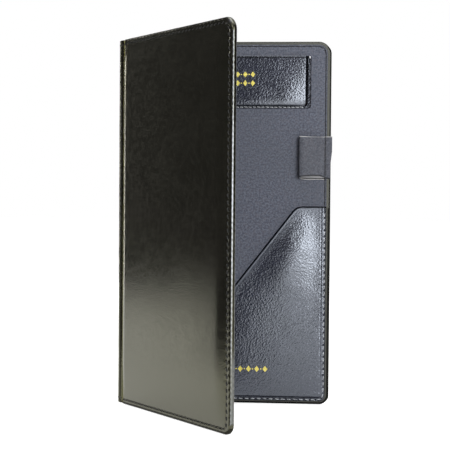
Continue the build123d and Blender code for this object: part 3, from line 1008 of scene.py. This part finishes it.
def mouth_distance(x, y):
    """Distance in from the check pocket's rounded mouth."""
    line = (x - MOUTH_X) * math.sin(MOUTH_TURN) - (y - MOUTH_Y) * math.cos(MOUTH_TURN)
    a, b = x - MOUTH_CENTRE[0], y - MOUTH_CENTRE[1]
    in_arc = between(np.arctan2(b, a), math.pi / 2, math.pi / 2 + MOUTH_TURN)
    return np.where(in_arc, MOUTH_RADIUS - np.hypot(a, b), np.minimum(line, MOUTH_Y - y))


def foot_billow(x, y):
    """How far the check pocket billows at its foot."""
    return 0.40 * np.exp(-((x - 62) / 30) ** 2 - ((y - 42) / 28) ** 2)


def check_belly(x, y):
    """How far the empty check pocket billows: most at its upper right, and a little at its foot."""
    belly = 3.1 - 0.14 * (soft_clip(x - 98.5, 2.5) - soft_clip(x - 116.6, 1.6))
    belly -= 0.085 * (soft_clip(x - 106.5, 2.0) - soft_clip(x - 116.6, 1.6))
    belly *= bell(np.minimum(x - 101, 0), 25)
    billow = belly * bell(y - 99, np.where(y < 99, 27, 42))
    return billow + foot_billow(x, y)


def check_crinkle(x, y):
    """Uneven leather and fine creases of the check pocket."""
    creases = [((88 + 3.1 * k, 88 - 3.4 * k + 2 * (k % 2)), (93 + 3.0 * k, 83.5 - 3.3 * k),
                (99 + 2.9 * k, 77 - 3.4 * k), 0.07 + 0.03 * (k % 3)) for k in range(6)]
    creases += [((80, 70), (88, 63), (99, 58), 0.07), ((70, 60), (79, 56), (86, 49), 0.06),
                ((52, 50), (60, 44), (70, 41), 0.05)]
    return 0.06 * waves(x, y, 42, 17) + 0.02 * waves(x, y, 43, 5.5) - wrinkles(x, y, creases)


def check_grid():
    """Grid x, y of the check pocket, closer at its mouth and seams. Its left side follows the mouth."""
    near = [0, 0.3, 0.58, 0.66, 0.74, 0.86, 1.0, 1.15, 1.3, 1.45, 1.6, 1.8, 2.1, 2.6, 3.2, 3.9, 4.8, 6.0]
    sewn = [0, 0.08, 0.25, 0.5, 0.75, 0.9, 1.0, 1.1, 1.3, 1.6, 2.0, 2.3, 2.6, 2.9, 3.3, 3.8, 4.6]
    low, right = LINING_EDGE, WIDTH - LINING_EDGE
    ys = np.concatenate((low + np.array(sewn), np.linspace(low + 5.8, MOUTH_Y - 7.0, 150),
                         MOUTH_Y - np.array(near[::-1])))
    from_left, from_right = np.array(near) / math.sin(MOUTH_TURN), np.array(sewn[::-1])
    lines = []
    for left in check_left(ys):
        squeeze = min(1.0, (right - left - 0.8) / (from_left[-1] + from_right[0] + 1.0))
        spread = np.linspace(left + from_left[-1] * squeeze, right - from_right[0] * squeeze, 72)[1:-1]
        lines.append(np.concatenate((left + from_left * squeeze, spread, right - from_right * squeeze)))
    x = np.array(lines)
    return x, np.tile(ys[:, None], (1, x.shape[1]))


def make_check_pocket():
    """Check pocket: one sheet with a turned edge along its slanting mouth, sewn down along two sides."""
    right, low = WIDTH - LINING_EDGE, LINING_EDGE
    x, y = check_grid()
    fx, fy = x.ravel(), y.ravel()
    m = np.maximum(mouth_distance(x, y), 0)
    d = smooth_min(right - x, y - low, 2.0)
    plain = np.minimum(right - x, y - low)
    rise = step_up(d, 1.9, 1.5)
    ease = (unit(m / 9) * unit(d / 7)).ravel()
    billow = check_belly(fx, fy) * (0.45 + 0.55 * step_up(m.ravel(), 0.0, 24.0))
    body = 1.45 + (billow + check_crinkle(fx, fy) * ease).reshape(x.shape) * step_up(d, 0.0, 4.5)
    ridge = 0.10 * (1 - step_up(m, 2.4, 3.6)) + 0.15 * bell(m - 1.15, 0.36)
    seam = seam_distance(fx, fy).reshape(x.shape)
    beat = stitch_beat(along_seam(fx, fy)).reshape(x.shape)
    valley = 0.22 * bell(seam - SEAM, 0.36) * (1 + 0.3 * beat)
    edge = 0.2 * (1 - unit(plain / 0.35)) ** 2
    top = FLANGE * (1 - rise) + (body + ridge) * rise - valley - edge
    under = np.where(rise > 0, np.maximum(top - SKIN - 0.25 * (m < HEM), REST), REST)
    lip = 1 - quarter(m - 0.55, 0.5)
    top = top * (1 - lip) + 0.25 * lip
    under = np.where(m < 1.1, REST, under)
    # painted shade: a black lip along the mouth, a dark outline along the sewn edges and dark holes along the
    # seam
    shade = 1 - step_up(m, 0.62, 0.25) + 0.9 * (1 - step_up(plain, 0.25, 0.3))
    shade += (0.25 + 0.75 * unit(beat) ** 2) * bell(seam - SEAM - 0.35, 0.48)
    x, y = round_off(x, y, right - CHECK_ROUND, low + CHECK_ROUND, CHECK_ROUND, 1, -1)
    points, faces = pocket_mesh(x, y, top, under)
    even = 0.6 * (1 - step_up(m, 1.6, 5.6))
    piece = make("check_pocket_leather", points, faces, "back_cover", POCKET, "pocket_leatherette", shade,
                 plain=np.tile(even.ravel(), 2))
    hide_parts("check_pocket")


def make_pen_loop():
    """Pen loop: a strip folded flat, its plies sewn down along the free edge. Its raw edges show its pale
    backing. Highlights are painted along its top edge and at the foot of the ply on the lining, and shade at
    its fold, along the front ply's foot and along its sewn tail.
    """
    line = [(124.9, 1.05), (122.6, 1.03), (121.2, 1.02), (120.1, 1.12), (118.6, 1.65), (116.4, 2.75),
            (113.6, 3.9), (110.6, 4.75), (108.0, 5.15), (106.4, 5.05), (105.45, 4.45), (LOOP_FOLD, 3.3),
            (LOOP_FOLD, 1.9), (105.6, 0.75), (107.4, 0.37), (111.0, 0.35), (115.5, 0.35), (120.0, 0.35),
            (124.35, 0.35)]
    path = spaced(smooth_line(line, 14), 0.4)[0]
    normal = path_normals(path)
    if normal[2, 1] < 0:
        normal = -normal
    x, n = path[:, 0], len(path)
    ahead = np.arange(n) < x.argmin()                            # the front ply, then the ply on the lining
    backing = ~ahead * between(x, 106.2, 121.5)
    bow = unit((x - 104.5) / 8.0) * unit((123.5 - x) / 6.0)
    rise_low = np.where(ahead, 0.9 * unit((122 - x) / 3) + 1.0 * bow, -0.55 * bow ** 0.5)
    drop_high = np.where(ahead, 0.2 * bow, 0.5)
    tall = LOOP_HIGH - LOOP_LOW
    ends = np.array([0, 0.05, 0.15, 0.3, 0.45, 0.6, 0.8, 1.05, 1.35, 1.7, 2.2])
    levels = np.concatenate((ends, np.linspace(3.2, 23.4, 20), tall - ends[::-1]))
    # painted shade along the fold, a black line down the loop's left side
    fold = bell(x - LOOP_FOLD, 0.35) * (path[:, 1] < 4.6)
    # strength of the painted highlight along the front ply's top edge
    top_highlight = np.interp(x, (105, 109, 113, 118, 120.5), (0.8, 0.6, 0.25, 0.2, 0.5))
    points, shade, pale = [], [], []
    for from_low in levels:
        share, from_high = from_low / tall, tall - from_low
        y = (LOOP_LOW + rise_low) * (1 - share) + (LOOP_HIGH - drop_high) * share
        centre = path.copy()
        centre[:, 0] += 0.9 * unit((x - 123.2) / 1.5) * unit((share - 0.35) / 0.3) * ahead
        half = np.full(n, 0.34 - end_round(from_low, 0.0, tall, 0.33))
        half[[0, -1]] *= 0.6
        outer, inner = centre + normal * half[:, None], centre - normal * half[:, None]
        points.append(np.column_stack((outer[:, 0], y, outer[:, 1])))
        points.append(np.column_stack((inner[::-1, 0], y[::-1], inner[::-1, 1])))
        # painted shade along the front ply's foot edge
        crease = 0.75 * ahead * (min(from_low, from_high) < 0.7) * (from_low < 2)
        top_edge = ahead * (from_high < 0.5) * top_highlight
        # the ply on the lining shows its pale backing through the open end, painted lighter as a highlight at
        # its foot, with a painted dark line above it; both of its faces carry the marks
        backing_and_highlight = backing * (0.95 * (from_low < 0.42) + 0.42 * between(from_low, 0.85, 4))
        dark_line = 1.0 * backing * between(from_low, 0.42, 0.85)
        shade.append(np.concatenate((np.maximum(fold, crease) + dark_line, dark_line[::-1])))
        pale.append(np.concatenate((top_edge + backing_and_highlight, backing_and_highlight[::-1])))
    points, shade, pale = np.concatenate(points), np.concatenate(shade), np.concatenate(pale)
    sewn = bell(points[:, 0] - (WIDTH - SEAM), 0.36) * between(points[:, 2], 0.9, 1.7)
    points[:, 2] -= 0.2 * sewn
    # painted dark dashes where the seam sews the loop's tail
    dashed = 0.85 * sewn * (0.6 + 0.4 * stitch_beat(points[:, 1]))
    piece = make("pen_loop_cloth", points, tube_faces(len(levels), 2 * n), "back_cover", LOOP,
                 "pocket_leatherette", np.maximum(shade, dashed), pale=pale)
    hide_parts("pen_loop")


def smooth_line(points, steps):
    """Catmull-Rom curve through points."""
    p = np.asarray(points, float)
    p = np.concatenate(([2 * p[0] - p[1]], p, [2 * p[-1] - p[-2]]))
    out = []
    for k in range(1, len(p) - 2):
        t = np.linspace(0, 1, steps, endpoint=False)[:, None]
        a, b, c, d = p[k - 1:k + 3]
        out.append(0.5 * (2 * b + (c - a) * t + (2 * a - 5 * b + 4 * c - d) * t ** 2
                          + (3 * b - a - 3 * c + d) * t ** 3))
    return np.concatenate(out + [p[-2:-1]])


# ---------------------------------------------------------------- foil ornaments
def foil_shapes(rows, level):
    """Raised foil shapes, each (centre x, centre y, half width, half height, corners)."""
    points, faces = [], []
    for cx, cy, wide, tall, corners in rows:
        faces += rod_faces(2, corners, len(points))
        turns = [2 * math.pi * k / corners for k in range(corners)]
        points += [(cx + wide * math.cos(t), cy + tall * math.sin(t), h)
                   for h in (-0.25, 0.05) for t in turns]
    points = np.array(points)
    points[:, 2] += level(points[:, 0], points[:, 1])
    return points, faces


def ornament(name, centre_x, centre_y, count, pitch, height, level):
    """A row of lozenges with dots between, a generic printer's ornament."""
    rows, dot = [], 0.42
    for k in range(count):
        x = centre_x + (k - (count - 1) / 2) * pitch
        rows.append((x, centre_y, pitch * 0.30, height / 2, 4))
        if k < count - 1:
            rows.append((x + pitch / 2, centre_y, dot, dot, 10))
    make(name, *foil_shapes(rows, level), "back_cover", FOIL, "foil").data.shade_flat()


# ---------------------------------------------------------------- the object
def inner_level(x, y):
    """h of the sewn line seen from the lining, where it crosses the check pocket, the loop and the lining."""
    over_pocket = (y < MOUTH_Y) & (x > check_left(np.clip(y, 0, MOUTH_Y - 0.1)))
    over_loop = between(y, LOOP_LOW, LOOP_HIGH) & (x > 100)
    return np.where(over_pocket, FLANGE - 0.18, np.where(over_loop, LOOP_TAIL - SUNK, -SUNK))


def make_seams():
    """The perimeter seam, seen from outside and from the lining; where it sews the check pocket its thread is
    painted pale, a painted highlight of its black thread.
    """
    for side in ("front", "back"):
        make_stitches(f"{side}_outside_stitches", f"{side}_cover", HOLES, even_level(RIM + 0.30), -1,
                      thread=0.42, rise=0.30, slant=0.50, reach=0.70)
    over = np.flatnonzero((HOLES[:, 1] < MOUTH_Y - 0.5) & (HOLES[:, 0] > check_left(HOLES[:, 1])))
    first, last, end = over[0], over[-1], len(HOLES) - 1
    for name, start, stop, material in (("foot", 0, first, THREAD), ("pocket", first, last, HIGHLIGHT_THREAD),
                                        ("top", last, end, THREAD)):
        make_stitches(f"back_inside_{name}_stitches", "back_cover", HOLES[start:stop + 1], inner_level, 1,
                      material, thread=0.24, rise=0.17, reach=0.70)
    make_stitches("front_inside_stitches", "front_cover", HOLES, even_level(-SUNK), 1)


make_cover("front_cover", 5)
make_cover("back_cover", 17)
make_lining("back_cover", 3)
make_lining("front_cover", 4)
make_spine()
make_spine_caps()
make_spine_stitches()
for side in ("back", "front"):
    outward = -np.array(FRAMES[f"{side}_cover"][2])
    make_fold(f"{side}_hinge_leather", hinge_path(side), -outward, 0.5, COVER, "leatherette",
              0.0, HEIGHT)
    make_fold(f"{side}_gutter_fold", gutter_path(side), outward, 0.3, LINING, "lining",
              LINING_EDGE, HEIGHT - LINING_EDGE)
make_gutter()
make_card_pocket()
make_card_stitches()
make_check_pocket()
make_pen_loop()
make_seams()
for row, centre_y in (("upper", 207.7), ("lower", 202.2)):
    ornament(f"card_pocket_ornament_{row}", 61.5, centre_y, 7, 4.75, 3.6, card_panel)
ornament("check_pocket_ornament", 64.0, 22.0, 9, 5.2, 3.9, lambda x, y: 1.5 + foot_billow(x, y))

for inside, material in (("front_board", BOARD), ("back_board", BOARD), ("front_padding", FOAM),
                         ("back_padding", FOAM), ("spine_padding", FOAM)):
    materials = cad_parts[inside].data.materials
    materials.clear()
    materials.append(material)


# ---------------------------------------------------------------- stage, light and camera
FLOOR_GLOW, AMBIENT = 0.72, 0.38
PICTURE, SENSOR = 450.0, 36.0       # picture's width in pixels, sensor's in mm
FOCAL = 1187.48                     # focal length in pixels
CAMERA = (0.05902, -0.69860, 0.12869)
HEADING, TILT, ROLL = 4.4329, -1.2098, -0.444
SOFTBOXES = [                       # name, place, aim, width and height, watts, colour
    ("front_softbox", (0.50, -1.02, 0.36), (0.03, 0.02, 0.11), (0.42, 0.72), 9.0, (0.97, 0.985, 1.0)),
    ("top_softbox", (-0.1, 0.1, 1.6), (0, 0, 0.1), (1.4, 1.4), 14.0, (1, 1, 1)),
    ("left_softbox", (-1.1, -0.9, 1.0), (0, 0, 0.11), (0.7, 0.7), 6.0, (1, 1, 1)),
    ("rear_strip", (-0.85, 0.68, 0.32), (-0.06, 0.05, 0.11), (0.06, 0.8), 1.6, (1.0, 0.97, 0.92)),
]
FLAGS = [                           # name, the ends of its foot, its lowest and highest edge
    ("far_flag", (-0.98, 0.92), (-0.79, 0.15), -0.01, 1.6),
    ("near_flag", (-0.263, 0.035), (-0.245, -0.24), -0.01, 0.8),
    ("right_flag", (0.80, -0.90), (1.25, 0.25), -0.01, 1.4),
    ("rear_right_flag", (1.25, 0.25), (0.30, 1.35), -0.01, 1.4),
    ("room_flag", (-1.00, -1.50), (0.22, -1.52), 0.17, 1.8),
    ("high_flag", (0.22, -1.52), (0.95, -1.45), 0.86, 1.8),
    ("behind_flag", (-0.98, 0.92), (0.05, 1.30), -0.01, 1.6),
]
# corners of a card on the floor that glows though it is no lamp, seen only in reflections, where it stands
# in for light reflected in the pockets' gloss
FLOOR_CARD = ((0.02, -1.3), (0.35, -1.3), (0.35, -0.22), (0.02, -0.22))


def plane(name, corners, material, only_reflected=False):
    mesh = bpy.data.meshes.new(name)
    mesh.from_pydata(corners, [], [tuple(range(len(corners)))])
    mesh.materials.append(material)
    piece = bpy.data.objects.new(name, mesh)
    bpy.context.collection.objects.link(piece)
    piece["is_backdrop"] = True
    if only_reflected:
        for kind in ("camera", "diffuse", "transmission", "shadow"):
            setattr(piece, f"visible_{kind}", False)


def seen_directly(tree):
    """1 for rays from the camera and off gloss or glass, 0 for light that falls on matt surfaces."""
    rays = tree.nodes.new("ShaderNodeLightPath")
    total = rays.outputs["Is Camera Ray"]
    for kind in ("Is Glossy Ray", "Is Transmission Ray"):
        either = tree.nodes.new("ShaderNodeMath")
        either.operation = "MAXIMUM"
        tree.links.new(total, either.inputs[0])
        tree.links.new(rays.outputs[kind], either.inputs[1])
        total = either.outputs[0]
    return total


def stage_material(name, colour, glow):
    """Matt stage paint, brightened by glow where it is seen directly."""
    s = Shader(name)
    s.set(s.shader, "Emission Color", (1.0, 1.0, 1.0))
    s.set(s.shader, "Emission Strength", s.math("MULTIPLY", seen_directly(s.tree), glow))
    s.set(s.shader, "Specular IOR Level", 0.0)
    return s.finish(colour, 1.0)


plane("floor", [(-7, -7, -0.0003), (7, -7, -0.0003), (7, 7, -0.0003), (-7, 7, -0.0003)],
      stage_material("pale_floor", (0.80, 0.80, 0.79), FLOOR_GLOW))
FLAG = stage_material("black_flag", (0.02, 0.02, 0.02), 0.0)
for name, (ax, ay), (bx, by), low, top in FLAGS:
    plane(name, [(ax, ay, low), (bx, by, low), (bx, by, top), (ax, ay, top)], FLAG, True)

plane("floor_card", [(x, y, 0.0004) for x, y in FLOOR_CARD],
      stage_material("glowing_reflection_card", (0.80, 0.80, 0.79), 2.6), True)

# dark cards under the covers' feet, seen only in reflections: a painted contact shadow in the rims that reflect
# the floor there, the front one a little lighter
for side, glow in (("front_cover", 0.22), ("back_cover", 0.0)):
    foot = place(np.array(((-3, 0, 5), (128, 0, 5), (128, 0, -8), (-3, 0, -8)), float), side) * MM
    plane(f"{side}_contact", [(x, y, -0.0001) for x, y, _ in foot.tolist()],
          stage_material(f"{side}_contact_shadow_card", (0.02, 0.02, 0.02), glow), True)

world = bpy.data.worlds.new("studio")
bpy.context.scene.world = world
world.use_nodes = True
background = world.node_tree.nodes["Background"]
background.inputs["Color"].default_value = (1, 1, 1, 1)
level = world.node_tree.nodes.new("ShaderNodeMapRange")
level.inputs["To Min"].default_value = AMBIENT
level.inputs["To Max"].default_value = 1.0
world.node_tree.links.new(seen_directly(world.node_tree), level.inputs["Value"])
world.node_tree.links.new(level.outputs[0], background.inputs["Strength"])

for name, spot, aim, (wide, tall), power, colour in SOFTBOXES:
    data = bpy.data.lights.new(name, "AREA")
    data.shape, data.size, data.size_y = "RECTANGLE", wide, tall
    data.energy, data.color = power, colour
    lamp = bpy.data.objects.new(name, data)
    lamp.location = spot
    lamp.rotation_euler = (Vector(aim) - Vector(spot)).to_track_quat("-Z", "Y").to_euler()
    bpy.context.collection.objects.link(lamp)

camera_data = bpy.data.cameras.new("camera")
camera_data.sensor_width = SENSOR
camera_data.lens = FOCAL * SENSOR / PICTURE
camera_data.clip_start, camera_data.clip_end = 0.05, 50.0
camera = bpy.data.objects.new("camera", camera_data)
bpy.context.collection.objects.link(camera)
turn = (Matrix.Rotation(math.radians(HEADING), 3, "Z") @ Matrix.Rotation(math.radians(TILT), 3, "X")
        @ Matrix.Rotation(math.radians(ROLL), 3, "Y"))
view = Matrix((turn.col[0], turn.col[2], -turn.col[1])).transposed()
camera.matrix_world = Matrix.Translation(CAMERA) @ view.to_4x4()
bpy.context.scene.camera = camera
bpy.context.scene.view_settings.view_transform = "Standard"

low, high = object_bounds()
